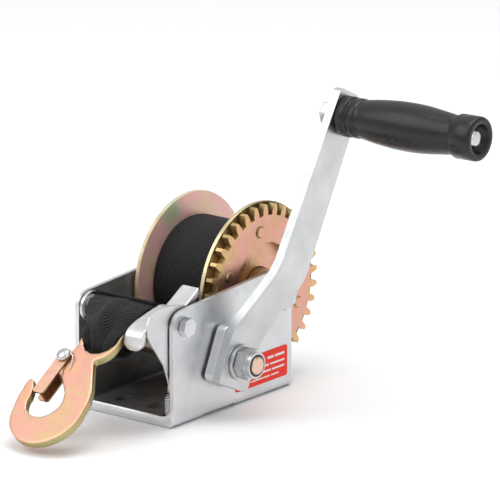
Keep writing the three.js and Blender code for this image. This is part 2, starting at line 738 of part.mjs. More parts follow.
const SPRING_COIL_RADIUS = 2.4;
const SPRING_WIRE_RADIUS = 0.45;
const SPRING_TURNS = 8;

class SpringCurve extends THREE.Curve {
  constructor(bottom, top) {
    super();
    this.bottom = bottom;
    this.top = top;
  }

  getPoint(t, target = new THREE.Vector3()) {
    const straight = 0.13;
    const opening = 0.07;
    const middle = THREE.MathUtils.clamp((t - straight) / (1 - 2 * straight), 0, 1);
    const fromEnd = Math.min(t, 1 - t);
    const inside = THREE.MathUtils.clamp((fromEnd - straight) / opening, 0, 1);
    const angle = middle * SPRING_TURNS * 2 * Math.PI;
    target.lerpVectors(this.bottom, this.top, t);
    target.x += SPRING_COIL_RADIUS * inside * Math.cos(angle);
    target.y += SPRING_COIL_RADIUS * inside * Math.sin(angle);
    return target;
  }
}

function buildSpring() {
  const bottom = new THREE.Vector3(SPRING_HOLE.x, SPRING_HOLE.y, 1.2);
  const top = new THREE.Vector3(TAIL_X - 1.2, SPRING_TOP.x, SPRING_TOP.y - 2.6);
  const section = new THREE.Shape();
  section.absarc(0, 0, SPRING_WIRE_RADIUS, 0, 2 * Math.PI, false);
  const wire = new THREE.ExtrudeGeometry(section, {
    steps: SPRING_TURNS * 9,
    curveSegments: 3,
    bevelEnabled: false,
    extrudePath: new SpringCurve(bottom, top),
  });
  add("pawl_spring", wire, "steel");
}

// -------------------------------------- hook, in a group whose plane leans forward from the strap

const hook = new THREE.Group();
hook.position.copy(HOOK_EYE);
hook.rotation.set(HOOK_LEAN, 0, HOOK_TURN);
model.add(hook);

// Inside the group x runs across the hook, -y runs from the eye to the bowl and z is its normal.
function hookOutline(points) {
  return polygon(points.map(([across, along]) => [across, -along]));
}

function disc(x, y, radius, height, segments) {
  return new THREE.CylinderGeometry(radius, radius, height, segments).rotateX(Math.PI / 2).translate(x, y, 0);
}

const EYE_SIDES = [
  [EYE_ACROSS - EYE_OUTER, EYE_ENDS[0]],
  [EYE_ACROSS - EYE_OUTER, EYE_ENDS[1]],
  [EYE_ACROSS + EYE_OUTER, EYE_ENDS[1]],
  [EYE_ACROSS + EYE_OUTER, EYE_ENDS[0]],
];
const SPINE = [
  [-7.6, 10],
  [-8.7, 17.2],
  [-8.5, 26],
  [-5.5, 34],
  [4, 46],
  [8, 60],
  [24.8, 59],
  [24.6, 50],
  [22, 40.5],
  [11.5, 20.4],
  [13, 14],
  [17, 8],
];
const TIP = [
  [-26, 64],
  [-27.8, 54],
  [-27.8, 43],
  [-26.6, 39.4],
  [-24, 39.4],
  [-20.6, 45],
  [-19, 51],
  [-18.8, 60],
];
const MOUTH = [
  [-19, 51],
  [-24, 39.4],
  [-30, 30],
  [-5.5, 31],
  [-5.5, 34],
  [4, 46],
  [5.6, 52],
  [-6.5, 56],
  [-18.8, 56],
];

function buildHook() {
  const half = HOOK_THICKNESS / 2;
  const plate = (points) => alongZ(hookOutline(points), -half, HOOK_THICKNESS);
  const body = join(
    ...EYE_ENDS.map((long) => disc(EYE_ACROSS, -long, EYE_OUTER, HOOK_THICKNESS, 40)),
    plate(EYE_SIDES),
    disc(BOWL.x, -BOWL.y, BOWL.z, HOOK_THICKNESS, 48),
    disc(LATCH_PIVOT.x, -LATCH_PIVOT.y, 5.5, HOOK_THICKNESS, 20),
    plate(SPINE),
  );
  const open = cut(body, alongZ(hookOutline(MOUTH), -10, 20));
  const shaped = cut(
    join(open, plate(TIP)),
    disc(EYE_ACROSS, -EYE_LONG, EYE_INNER, 20, 32),
    disc(THROAT.x, -THROAT.y, THROAT.z, 20, 36),
    disc(LATCH_PIVOT.x, -LATCH_PIVOT.y, 2 + GAP, 20, 16),
  );
  add("hook", shaped, "pinkZinc", hook);
}

function buildLatch() {
  const along = LATCH_END.clone().sub(LATCH_PIVOT);
  const length = along.length();
  const angle = Math.atan2(-along.y, along.x);
  const cheekOut = 4.6;
  const cheekIn = 3.35;
  const half = 4.4;
  const cheekShape = () => roundedRectangle(-5, -half, length + 1.5, half, 2);
  const upper = alongZ(cheekShape(), cheekIn, cheekOut - cheekIn, 6);
  const lower = alongZ(cheekShape(), -cheekOut, cheekOut - cheekIn, 6);
  const webShape = roundedRectangle(7.5, -half, length - 2, 1.2 - half, 0.3);
  const web = alongZ(webShape, 0.2 - cheekOut, 2 * cheekOut - 0.4, 2);
  const latch = join(upper, lower, web).rotateZ(angle).translate(LATCH_PIVOT.x, -LATCH_PIVOT.y, 0);
  const hole = disc(LATCH_PIVOT.x, -LATCH_PIVOT.y, 2 + GAP, 20, 16);
  add("hook_latch", cut(latch, hole), "pinkZinc", hook);
  const head = 1.2;
  const pin = new THREE.LatheGeometry([
    new THREE.Vector2(0, -cheekOut - GAP - head),
    new THREE.Vector2(3.2, -cheekOut - GAP - head),
    new THREE.Vector2(3.6, -cheekOut - GAP),
    new THREE.Vector2(2, -cheekOut - GAP),
    new THREE.Vector2(2, cheekOut + GAP),
    new THREE.Vector2(3.6, cheekOut + GAP),
    new THREE.Vector2(3.2, cheekOut + GAP + head),
    new THREE.Vector2(0, cheekOut + GAP + head),
  ], 16).rotateX(Math.PI / 2).translate(LATCH_PIVOT.x, -LATCH_PIVOT.y, 0);
  add("latch_pin", pin, "pinkZinc", hook);
}

// ---------------------------------------------------------------- strap

const eyeBarAlong = (EYE_ENDS[0] - EYE_OUTER + EYE_LONG - EYE_INNER) / 2;
hook.updateMatrix();
const eyeBar = new THREE.Vector3(EYE_ACROSS, -eyeBarAlong, 0).applyMatrix4(hook.matrix);
const EYE_BAR_POINT = new THREE.Vector2(eyeBar.y, eyeBar.z);
const LOOP_WIDTH = 12;
const LOOP_INNER = 6.1;
const LOOP_THICKNESS = 3;
const STRAP_THICKNESS = 2.4;
const STRAP_JOIN = new THREE.Vector2(-61, 73.2);

function onCircle(axis, radius, angle) {
  return new THREE.Vector2(axis.x + radius * Math.cos(angle), axis.y + radius * Math.sin(angle));
}

function buildStrapSpan() {
  const [from] = windingSpan();
  const over = 8 + GAP + STRAP_THICKNESS / 2;
  const under = WINDING_RADIUS + GAP + STRAP_THICKNESS / 2;
  const slope = Math.asin((over + under) / DRUM_AXIS.distanceTo(TIE_AXIS));
  const points = [];
  for (let i = 0; i <= 3; i += 1) {
    points.push(onCircle(DRUM_AXIS, under, -Math.PI / 2 - slope + 0.5 - (i * 0.5) / 3));
  }
  for (let i = 0; i <= 4; i += 1) {
    points.push(onCircle(TIE_AXIS, over, Math.PI / 2 - slope + (i * (slope + 0.05)) / 4));
  }
  points.push(STRAP_JOIN.clone().add(new THREE.Vector2(GAP, 0)));
  add("strap_span", alongX(strip(points, STRAP_THICKNESS), from + 1, STRAP_WIDTH - 3), "webbing");
}

function buildStrapLoop() {
  const radius = LOOP_INNER + LOOP_THICKNESS / 2;
  const points = [STRAP_JOIN];
  const turns = 10;
  for (let i = 0; i <= turns; i += 1) {
    points.push(onCircle(EYE_BAR_POINT, radius, Math.PI / 2 + (i * Math.PI) / turns));
  }
  points.push(new THREE.Vector2(STRAP_JOIN.x, EYE_BAR_POINT.y - radius + 2));
  add("strap_loop", alongX(strip(points, LOOP_THICKNESS), eyeBar.x - LOOP_WIDTH / 2, LOOP_WIDTH), "webbing");
}

// ---------------------------------------------------------------- assembly

buildFrame();
buildBasePlate();
buildLabel();
buildTie();
buildDrum();
buildWinding();
buildAxle();
buildShaft();
buildArm();
buildHub();
buildGrip();
buildPawl();
buildTailPlate();
buildSpring();
buildHook();
buildLatch();
buildStrapSpan();
buildStrapLoop();

export default model;
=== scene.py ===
"""A geared hand winch for boat trailers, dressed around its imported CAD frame."""

import json
import math

import bmesh
import bpy
from mathutils import Matrix, Vector


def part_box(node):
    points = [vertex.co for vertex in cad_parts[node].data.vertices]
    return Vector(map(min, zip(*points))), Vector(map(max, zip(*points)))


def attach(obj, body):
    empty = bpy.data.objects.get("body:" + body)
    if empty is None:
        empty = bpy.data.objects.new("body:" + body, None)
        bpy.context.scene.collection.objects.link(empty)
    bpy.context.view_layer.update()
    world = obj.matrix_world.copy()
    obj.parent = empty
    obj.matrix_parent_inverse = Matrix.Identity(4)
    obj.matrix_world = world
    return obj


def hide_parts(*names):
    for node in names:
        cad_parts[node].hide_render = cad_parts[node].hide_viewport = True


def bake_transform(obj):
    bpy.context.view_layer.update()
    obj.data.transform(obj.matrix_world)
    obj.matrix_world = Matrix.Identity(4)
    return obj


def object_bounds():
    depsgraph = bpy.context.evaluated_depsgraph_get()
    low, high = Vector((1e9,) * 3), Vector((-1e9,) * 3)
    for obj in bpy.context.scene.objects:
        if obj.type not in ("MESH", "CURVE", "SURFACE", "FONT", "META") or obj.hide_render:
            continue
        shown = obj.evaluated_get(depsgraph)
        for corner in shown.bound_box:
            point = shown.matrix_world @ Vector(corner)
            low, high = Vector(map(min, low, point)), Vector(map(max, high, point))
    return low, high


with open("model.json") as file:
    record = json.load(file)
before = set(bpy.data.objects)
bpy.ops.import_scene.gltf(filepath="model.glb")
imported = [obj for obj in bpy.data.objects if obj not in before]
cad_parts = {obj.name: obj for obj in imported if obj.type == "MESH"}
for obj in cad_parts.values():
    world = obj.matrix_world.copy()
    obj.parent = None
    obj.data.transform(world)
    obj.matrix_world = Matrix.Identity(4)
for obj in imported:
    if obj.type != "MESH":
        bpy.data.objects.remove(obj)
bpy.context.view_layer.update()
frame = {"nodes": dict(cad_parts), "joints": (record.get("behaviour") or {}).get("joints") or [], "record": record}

MM = 0.001
JOINT = {j["name"]: Vector(j["pos_m"]) for j in frame["joints"]}
BODY = {
    node: body
    for body, nodes in frame["record"]["behaviour"]["bodies"].items()
    for node in nodes
}
DRUM = JOINT["drum_spin"]
SHAFT = JOINT["crank_spin"]
GRIP = JOINT["grip_spin"]
TIE = JOINT["pawl_tilt"]


# ---------------------------------------------------------------- camera, lights and floor

TARGET = Vector((0, -10, 40)) * MM
AZIMUTH = math.radians(39.26)
ELEVATION = math.radians(16.13)
DISTANCE = 2.632
LENS = 298.5
SENSOR = 36
# How far the camera aims beside TARGET and above it, in metres.
AIM_RIGHT = 0.0483
AIM_UP = 0.0563


def build_camera():
    back = Vector(
        (
            math.sin(AZIMUTH) * math.cos(ELEVATION),
            -math.cos(AZIMUTH) * math.cos(ELEVATION),
            math.sin(ELEVATION),
        )
    )
    right = Vector((math.cos(AZIMUTH), math.sin(AZIMUTH), 0))
    up = back.cross(right)
    data = bpy.data.cameras.new("camera")
    data.lens = LENS
    data.sensor_width = SENSOR
    camera = bpy.data.objects.new("camera", data)
    camera.location = TARGET + back * DISTANCE
    aim = TARGET + right * AIM_RIGHT + up * AIM_UP
    direction = aim - camera.location
    camera.rotation_mode = "QUATERNION"
    camera.rotation_quaternion = direction.to_track_quat("-Z", "Y")
    bpy.context.scene.collection.objects.link(camera)
    bpy.context.scene.camera = camera
    bpy.context.scene.view_settings.view_transform = "Standard"


# The area lights: where each is, what it faces and its width and height, in metres, and its power in watts.
LIGHTS = {
    "key": ((-0.9, -1.3, 1.5), (0, 0, 0.06), (1.6, 1.6), 13),
    "side": ((1.7, -0.5, 1.0), (0, 0, 0.06), (0.9, 1.4), 4),
    "top": ((0.1, 0.3, 1.9), (0, 0, 0.05), (0.9, 1.6), 14),
}
# The world's brightness from straight down to straight up.
SKY = [(0.0, 0.8), (0.1, 0.98), (0.3, 0.55), (0.7, 0.95)]
SKY_STRENGTH = 0.92
FLOOR_SIZE = 12
FLOOR_GREY = 0.93


def area_light(name, place, aim, size, power):
    data = bpy.data.lights.new(name, "AREA")
    data.shape = "RECTANGLE"
    data.size, data.size_y = size
    data.energy = power
    light = bpy.data.objects.new(name, data)
    light.location = place
    direction = Vector(aim) - Vector(place)
    light.rotation_mode = "QUATERNION"
    light.rotation_quaternion = direction.to_track_quat("-Z", "Y")
    bpy.context.scene.collection.objects.link(light)


def fill_ramp(ramp, stops):
    """Gives a colour ramp these stops, each a position and a colour."""
    elements = ramp.color_ramp.elements
    while len(elements) < len(stops):
        elements.new(0.5)
    for element, (position, colour) in zip(elements, stops):
        element.position = position
        element.color = (*colour, 1)


def build_world():
    world = bpy.data.worlds.new("studio")
    world.use_nodes = True
    bpy.context.scene.world = world
    tree = world.node_tree
    background = tree.nodes["Background"]
    coordinate = tree.nodes.new("ShaderNodeTexCoord")
    split = tree.nodes.new("ShaderNodeSeparateXYZ")
    ramp = tree.nodes.new("ShaderNodeValToRGB")
    tree.links.new(coordinate.outputs["Generated"], split.inputs[0])
    tree.links.new(split.outputs["Z"], ramp.inputs["Fac"])
    tree.links.new(ramp.outputs["Color"], background.inputs["Color"])
    fill_ramp(ramp, [(position, (grey, grey, grey)) for position, grey in SKY])
    background.inputs["Strength"].default_value = SKY_STRENGTH


def build_floor():
    mesh = bpy.data.meshes.new("floor")
    size = FLOOR_SIZE
    corners = [(-size, -size, 0), (size, -size, 0), (size, size, 0), (-size, size, 0)]
    mesh.from_pydata(corners, [], [(0, 1, 2, 3)])
    floor = bpy.data.objects.new("floor", mesh)
    floor.location.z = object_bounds()[0].z - 0.2 * MM
    bpy.context.scene.collection.objects.link(floor)
    material = bpy.data.materials.new("floor")
    material.use_nodes = True
    shader = material.node_tree.nodes["Principled BSDF"]
    shader.inputs["Base Color"].default_value = (FLOOR_GREY, FLOOR_GREY, FLOOR_GREY, 1)
    shader.inputs["Roughness"].default_value = 0.6
    mesh.materials.append(material)


def build_lights():
    for name, (place, aim, size, power) in LIGHTS.items():
        area_light(name, place, aim, size, power)


# ---------------------------------------------------------------- materials


class Surface:
    """A procedural material, built node by node."""

    def __init__(self, name):
        self.material = bpy.data.materials.new(name)
        self.material.use_nodes = True
        self.tree = self.material.node_tree
        self.shader = self.tree.nodes["Principled BSDF"]
        coordinate = self.tree.nodes.new("ShaderNodeTexCoord")
        self.place = coordinate.outputs["Object"]
        self.uv = coordinate.outputs["UV"]
        self.normal = coordinate.outputs["Normal"]

    def set(self, **values):
        for name, value in values.items():
            self.shader.inputs[name.replace("_", " ")].default_value = value

    def feed(self, name, output):
        self.tree.links.new(output, self.shader.inputs[name])

    def node(self, kind, *inputs, **settings):
        made = self.tree.nodes.new(kind)
        for key, value in settings.items():
            setattr(made, key, value)
        for index, value in enumerate(inputs):
            if value is None:
                continue
            if isinstance(value, bpy.types.NodeSocket):
                self.tree.links.new(value, made.inputs[index])
            else:
                made.inputs[index].default_value = value
        return made

    def math(self, operation, *inputs):
        return self.node("ShaderNodeMath", *inputs, operation=operation).outputs[0]

    def vector(self, operation, *inputs):
        return self.node("ShaderNodeVectorMath", *inputs, operation=operation)

    def noise(self, scale, detail=3):
        made = self.node("ShaderNodeTexNoise")
        self.tree.links.new(self.place, made.inputs["Vector"])
        made.inputs["Scale"].default_value = scale
        made.inputs["Detail"].default_value = detail
        return made.outputs["Fac"]

    def ramp(self, value, *stops):
        made = self.node("ShaderNodeValToRGB", value)
        fill_ramp(made, stops)
        return made.outputs["Color"]

    def spread(self, value, low, high, from_low=0.3, from_high=0.7):
        """The value's range, by default that of a noise, drawn out to low and high."""
        made = self.node("ShaderNodeMapRange", value, from_low, from_high, low, high)
        return made.outputs[0]

    def mix(self, factor, first, second):
        """The first colour where the factor is 0 and the second where it is 1."""
        made = self.node("ShaderNodeMix", factor, data_type="RGBA")
        for index, value in ((6, first), (7, second)):
            if isinstance(value, bpy.types.NodeSocket):
                self.tree.links.new(value, made.inputs[index])
            else:
                made.inputs[index].default_value = (*value, 1)
        return made.outputs[2]

    def turned(self, facing):
        """How squarely the surface faces this direction or its opposite, from 0 to 1."""
        return self.math("ABSOLUTE", self.vector("DOT_PRODUCT", self.normal, facing).outputs["Value"])

    def from_axis(self, point):
        """How far the shaded point is from the line through this point along X."""
        away = self.vector("SUBTRACT", self.place, tuple(point))
        flat = self.vector("MULTIPLY", away.outputs[0], (0, 1, 1))
        return self.vector("LENGTH", flat.outputs[0]).outputs["Value"]

    def colour(self):
        """What feeds the base colour so far."""
        return self.shader.inputs["Base Color"].links[0].from_socket

    def bump(self, height, strength, distance):
        made = self.tree.nodes.new("ShaderNodeBump")
        made.inputs["Strength"].default_value = strength
        made.inputs["Distance"].default_value = distance
        self.tree.links.new(height, made.inputs["Height"])
        self.feed("Normal", made.outputs[0])


def zinc(name, dark, light, rough, grain=1800):
    """Clear zinc plate: satin, faintly clouded, with a fine grain."""
    made = Surface(name)
    clouds = made.noise(38, 4)
    colour = made.ramp(clouds, (0.3, dark), (0.7, light))
    made.feed("Base Color", colour)
    made.set(Metallic=1.0)
    made.feed("Roughness", made.spread(made.noise(160, 5), rough - 0.06, rough + 0.08))
    made.bump(made.noise(grain, 2), 0.12, 0.02 * MM)
    return made


# The space between the side plates, where the frame's colour carries painted shade: half its width, and its front
# end in y, in mm.
INSIDE_HALF = 37.6
INSIDE_FRONT = -59.4


def frame_zinc():
    """The frame's plate, with painted shade and a painted reflection of the black strap between its sides, where
    its colour is darker and less metallic.
    """
    made = zinc("frame_zinc", (0.62, 0.635, 0.65), (0.76, 0.77, 0.785), 0.36)
    split = made.node("ShaderNodeSeparateXYZ", made.place)
    x, y = split.outputs[0], split.outputs[1]
    between = made.math("LESS_THAN", made.math("ABSOLUTE", x), INSIDE_HALF * MM)
    behind = made.math("GREATER_THAN", y, INSIDE_FRONT * MM)
    inside = made.math("MULTIPLY", between, behind)
    # painted shade and painted strap reflection: a darker, less metallic colour between the side plates and behind
    # their front edge
    inner = made.ramp(made.noise(26, 3), (0.35, (0.20, 0.198, 0.198)), (0.7, (0.42, 0.415, 0.415)))
    made.feed("Base Color", made.mix(inside, made.colour(), inner))
    made.feed("Metallic", made.spread(inside, 1, 0.72))
    return made


HOOK_NORMAL = (0, -0.599, 0.801)
SIDEWAYS = (1, 0, 0)
OLIVE = (0.24, 0.21, 0.10)
OLIVE_TO_GOLD = [(0.38, OLIVE), (0.5, (0.42, 0.33, 0.15)), (0.62, (0.62, 0.43, 0.19))]


def chromate(
    name,
    facing,
    face,
    edge,
    scale,
    rough=0.33,
    grain=0.18,
    turn=(0.72, 0.97),
    metal=1.0,
    pitch=1500,
    speckle=0.14,
):
    """Yellow chromate over zinc: its colour drifts over the flat faces and differs on the edges.

    facing is the direction of the flat faces, face and edge are the ramps of the two regions, and
    turn is how squarely a surface faces that way while its colour goes over. scale is that of the
    drift, speckle the share of finer drift in it, and grain and pitch are the bump's strength and scale.
    """
    made = Surface(name)
    drift = made.math("MULTIPLY", made.noise(scale, 2), 1 - speckle)
    blend = made.math("ADD", drift, made.math("MULTIPLY", made.noise(scale * 9, 3), speckle))
    flat = made.spread(made.turned(facing), 0, 1, *turn)
    made.feed("Base Color", made.mix(flat, made.ramp(blend, *edge), made.ramp(blend, *face)))
    made.set(Metallic=metal)
    made.feed("Roughness", made.spread(made.noise(220, 5), rough - 0.07, rough + 0.1))
    made.bump(made.noise(pitch, 3), grain, 0.06 / pitch)
    return made


def gear_chromate():
    """The gear: rose in the middle of its face, and gold towards the teeth."""
    face = [
        (0.38, (0.60, 0.38, 0.20)),
        (0.46, (0.68, 0.36, 0.26)),
        (0.54, (0.70, 0.37, 0.30)),
        (0.62, (0.66, 0.42, 0.22)),
    ]
    made = chromate("gear_chromate", SIDEWAYS, face, OLIVE_TO_GOLD, 26, metal=0.88)
    uneven = made.math("MULTIPLY", made.noise(90, 3), 9 * MM)
    radius = made.math("ADD", made.from_axis(DRUM), uneven)
    on_face = made.math("GREATER_THAN", made.turned(SIDEWAYS), 0.9)
    rim = made.math("MULTIPLY", on_face, made.spread(radius, 0, 0.7, 51 * MM, 60 * MM))
    made.feed("Base Color", made.mix(rim, made.colour(), (0.72, 0.47, 0.18)))
    return made


# The radius of the gear's opening, which the disc closes.
GEAR_OPENING = 38


def disc_chromate():
    """The disc behind the gear: painted shade makes its face dark between the teeth, its edges are a gold chromate
    tone brightened as a painted highlight, and inside the gear's opening it has the gear's own colour.
    """
    # bright: gold chromate tone on the disc's edges, lightened as a painted highlight
    bright = [(0.38, (0.62, 0.53, 0.30)), (0.5, (0.78, 0.68, 0.44)), (0.62, (0.60, 0.50, 0.28))]
    # dark: painted shade on the disc's face where it shows between the gear's teeth
    dark = [(0.4, (0.15, 0.12, 0.055)), (0.6, (0.30, 0.20, 0.11))]
    made = chromate("disc_chromate", SIDEWAYS, dark, bright, 22)
    inside = made.math("LESS_THAN", made.from_axis(DRUM), GEAR_OPENING * MM)
    middle = [(0.38, (0.62, 0.40, 0.20)), (0.5, (0.66, 0.36, 0.27)), (0.62, (0.70, 0.44, 0.30))]
    inner = made.ramp(made.noise(30, 3), *middle)
    made.feed("Base Color", made.mix(inside, made.colour(), inner))
    return made


def flange_chromate():
    """The far flange: rose, with one pale green patch near its top."""
    face = [
        (0.38, (0.90, 0.62, 0.46)),
        (0.48, (0.95, 0.56, 0.53)),
        (0.58, (0.92, 0.53, 0.49)),
        (0.66, (0.76, 0.62, 0.42)),
    ]
    edge = [(0.38, (0.50, 0.42, 0.22)), (0.5, (0.70, 0.58, 0.36)), (0.62, (0.46, 0.42, 0.24))]
    made = chromate("rose_chromate", SIDEWAYS, face, edge, 34, 0.4, metal=0.4)
    patch = DRUM + Vector((0, -20, 46)) * MM
    uneven = made.math("MULTIPLY", made.noise(120, 3), 8 * MM)
    ragged = made.math("ADD", made.from_axis(patch), uneven)
    green = made.spread(ragged, 0.95, 0, 8 * MM, 18 * MM)
    made.feed("Base Color", made.mix(green, made.colour(), (0.46, 0.54, 0.34)))
    return made


YARN_PITCH = 1.15


def webbing():
    """Black polyester webbing in a twill, with its yarns along the strap's own length and width, and painted
    highlight and shade following the weave's height.
    """
    made = Surface("webbing")
    split = made.node("ShaderNodeSeparateXYZ", made.uv)
    across, along = split.outputs[0], split.outputs[1]
    yarn = 2 * math.pi / (YARN_PITCH * MM)
    row = made.math("MULTIPLY", across, yarn)
    pick = made.math("MULTIPLY", along, yarn)
    slant = made.math("MULTIPLY", made.math("ADD", across, along), yarn / 2)
    weave = made.math("MULTIPLY", made.math("SINE", row), made.math("SINE", pick))
    height = made.math("ADD", made.math("MULTIPLY", made.math("SINE", slant), 0.35), weave)
    level = made.spread(height, 0, 1, -1.4, 1.4)
    fuzz = made.noise(2600, 2)
    # painted highlight on the weave's crowns and painted shade in its hollows: the one black yarn is lighter where
    # the weave stands highest
    shades = [(0.2, (0.003, 0.003, 0.0035)), (0.68, (0.012, 0.012, 0.013)), (0.9, (0.13, 0.13, 0.135))]
    made.feed("Base Color", made.ramp(level, *shades))
    made.feed("Roughness", made.spread(fuzz, 0.6, 0.9))
    made.set(Sheen_Weight=0.03, Sheen_Roughness=0.4, Specular_IOR_Level=0.16)
    made.bump(made.math("ADD", level, made.math("MULTIPLY", fuzz, 0.25)), 0.8, 0.26 * MM)
    return made


def moulded():
    """Black moulded grip with a fine spark-eroded texture."""
    made = Surface("grip_plastic")
    speckle = made.noise(1300, 4)
    shades = [(0.3, (0.003, 0.003, 0.0034)), (0.75, (0.009, 0.009, 0.01))]
    made.feed("Base Color", made.ramp(speckle, *shades))
    made.feed("Roughness", made.spread(made.noise(500, 3), 0.24, 0.34))
    made.set(Specular_IOR_Level=0.42)
    made.bump(speckle, 0.3, 0.1 * MM)
    return made


def printed(name, dark, light):
    """A satin printing ink."""
    made = Surface(name)
    made.feed("Base Color", made.ramp(made.noise(700, 4), (0.3, dark), (0.7, light)))
    made.feed("Roughness", made.spread(made.noise(300, 3), 0.34, 0.46))
    made.set(Specular_IOR_Level=0.2)
    made.bump(made.noise(900, 2), 0.1, 0.01 * MM)
    return made


def nylon(name, colour):
    """The dull plastic of the lock nut's ring."""
    made = Surface(name)
    bright = tuple(c * 1.8 + 0.01 for c in colour)
    made.feed("Base Color", made.ramp(made.noise(900, 3), (0.3, colour), (0.75, bright)))
    made.feed("Roughness", made.spread(made.noise(400, 2), 0.45, 0.6))
    made.bump(made.noise(1600, 2), 0.2, 0.03 * MM)
    return made


MATERIALS = {
    "frame": frame_zinc(),
    "zinc": zinc("clear_zinc", (0.54, 0.55, 0.56), (0.66, 0.67, 0.675), 0.34),
    "cast": zinc("cast_zinc", (0.64, 0.645, 0.65), (0.76, 0.765, 0.77), 0.36, 900),
    "steel": zinc("bright_steel", (0.50, 0.51, 0.52), (0.72, 0.72, 0.73), 0.2),
    "yellow": chromate(
        "yellow_chromate",
        SIDEWAYS,
        [
            (0.38, (0.55, 0.36, 0.16)),
            (0.45, (0.66, 0.34, 0.23)),
            (0.54, (0.70, 0.37, 0.29)),
            (0.62, (0.66, 0.42, 0.18)),
        ],
        OLIVE_TO_GOLD,
        22,
    ),
    "gear": gear_chromate(),
    "disc": disc_chromate(),
    "flange": flange_chromate(),
    "shaft": chromate(
        "shaft_chromate",
        SIDEWAYS,
        [(0.38, (0.80, 0.50, 0.42)), (0.62, (0.82, 0.56, 0.46))],
        [(0.38, (0.62, 0.45, 0.34)), (0.62, (0.74, 0.60, 0.46))],
        60,
    ),
    "hook": chromate(
        "peach_chromate",
        HOOK_NORMAL,
        [
            (0.38, (0.74, 0.48, 0.25)),
            (0.45, (0.80, 0.44, 0.29)),
            (0.53, (0.78, 0.41, 0.33)),
            (0.62, (0.72, 0.48, 0.28)),
        ],
        [(0.38, (0.22, 0.18, 0.08)), (0.5, (0.50, 0.38, 0.18)), (0.62, (0.42, 0.40, 0.20))],
        26,
        rough=0.36,
        grain=0.9,
        turn=(0.25, 0.7),
        pitch=650,
        speckle=0.34,
    ),
    "latch": chromate(
        "latch_chromate",
        HOOK_NORMAL,
        [(0.38, (0.78, 0.50, 0.30)), (0.62, (0.82, 0.48, 0.38))],
        # painted shade: near-black brown on the latch's sides and inside, the surfaces turned away from the hook's
        # plane
        [(0.4, (0.12, 0.09, 0.04)), (0.6, (0.26, 0.19, 0.09))],
        60,
        rough=0.3,
        grain=0.2,
        turn=(0.3, 0.6),
    ),
    "webbing": webbing(),
    "grip": moulded(),
    "label": printed("label_red", (0.72, 0.028, 0.012), (0.82, 0.038, 0.016)),
    "print": printed("label_white", (0.74, 0.72, 0.70), (0.86, 0.85, 0.83)),
    "nylon": nylon("nylon_ring", (0.012, 0.012, 0.013)),
}


# ---------------------------------------------------------------- making pieces


def shade(mesh, smooth):
    mesh.polygons.foreach_set("use_smooth", [smooth] * len(mesh.polygons))


def new_piece(mesh, name, look):
    """Links a mesh as a smooth piece with its material."""
    piece = bpy.data.objects.new(name, mesh)
    bpy.context.scene.collection.objects.link(piece)
    mesh.materials.clear()
    mesh.materials.append(MATERIALS[look].material)
    shade(mesh, True)
    return piece


def place_piece(mesh, name, body, look, stands_for=()):
    """A new piece that rides on a body and the nodes that it stands for."""
    piece = new_piece(mesh, name, look)
    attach(piece, body)
    if stands_for:
        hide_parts(*stands_for)
    return piece


# Turns of less than EDGE_ANGLE are part of a round surface and aren't bevelled. FLAT_ANGLE is for faces
# that are one flat face, and WELD is how near two corners are for them to be one, in mm.
EDGE_ANGLE = 30
FLAT_ANGLE = 0.6
WELD = 0.004


def round_edges(piece, width, segments):
    bevel = piece.modifiers.new("edges", "BEVEL")
    bevel.width = width * MM
    bevel.segments = segments
    bevel.limit_method = "ANGLE"
    bevel.angle_limit = math.radians(EDGE_ANGLE)
    bevel.harden_normals = True
    bevel.miter_outer = "MITER_ARC"
    weigh = piece.modifiers.new("shading", "WEIGHTED_NORMAL")
    weigh.keep_sharp = True


def clean_copy(node):
    """A CAD node's own shape with its flat faces whole again."""
    bm = bmesh.new()
    bm.from_mesh(frame["nodes"][node].data)
    bmesh.ops.remove_doubles(bm, verts=bm.verts, dist=WELD * MM)
    bmesh.ops.dissolve_limit(bm, angle_limit=math.radians(FLAT_ANGLE), verts=bm.verts, edges=bm.edges)
    return finished(bm, node)


def shell(node, look):
    """A piece of the CAD node's own shape, in its place."""
    return place_piece(clean_copy(node), node + "_shell", BODY[node], look, [node])


def finished(bm, name):
    """The mesh of a bmesh, with its faces turned outwards."""
    bmesh.ops.recalc_face_normals(bm, faces=bm.faces)
    mesh = bpy.data.meshes.new(name)
    bm.to_mesh(mesh)
    bm.free()
    return mesh


def lathe(name, profile, centre, segments=64, closed=False):
    """Turns (x, radius) points, in millimetres, about the X axis through centre (any point of the axis)."""
    bm = bmesh.new()
    rings = []
    for x, radius in profile:
        if radius < 1e-6:
            rings.append([bm.verts.new((x * MM, centre.y, centre.z))])
            continue
        ring = []
        for i in range(segments):
            a = 2 * math.pi * i / segments
            y = centre.y + radius * MM * math.cos(a)
            z = centre.z + radius * MM * math.sin(a)
            ring.append(bm.verts.new((x * MM, y, z)))
        rings.append(ring)
    pairs = list(zip(rings, rings[1:]))
    if closed:
        pairs.append((rings[-1], rings[0]))
    for first, second in pairs:
        for i in range(segments):
            j = (i + 1) % segments
            if len(first) == 1 and len(second) > 1:
                bm.faces.new((first[0], second[j], second[i]))
            elif len(second) == 1 and len(first) > 1:
                bm.faces.new((first[i], first[j], second[0]))
            elif len(first) > 1:
                bm.faces.new((first[i], first[j], second[j], second[i]))
    return finished(bm, name)


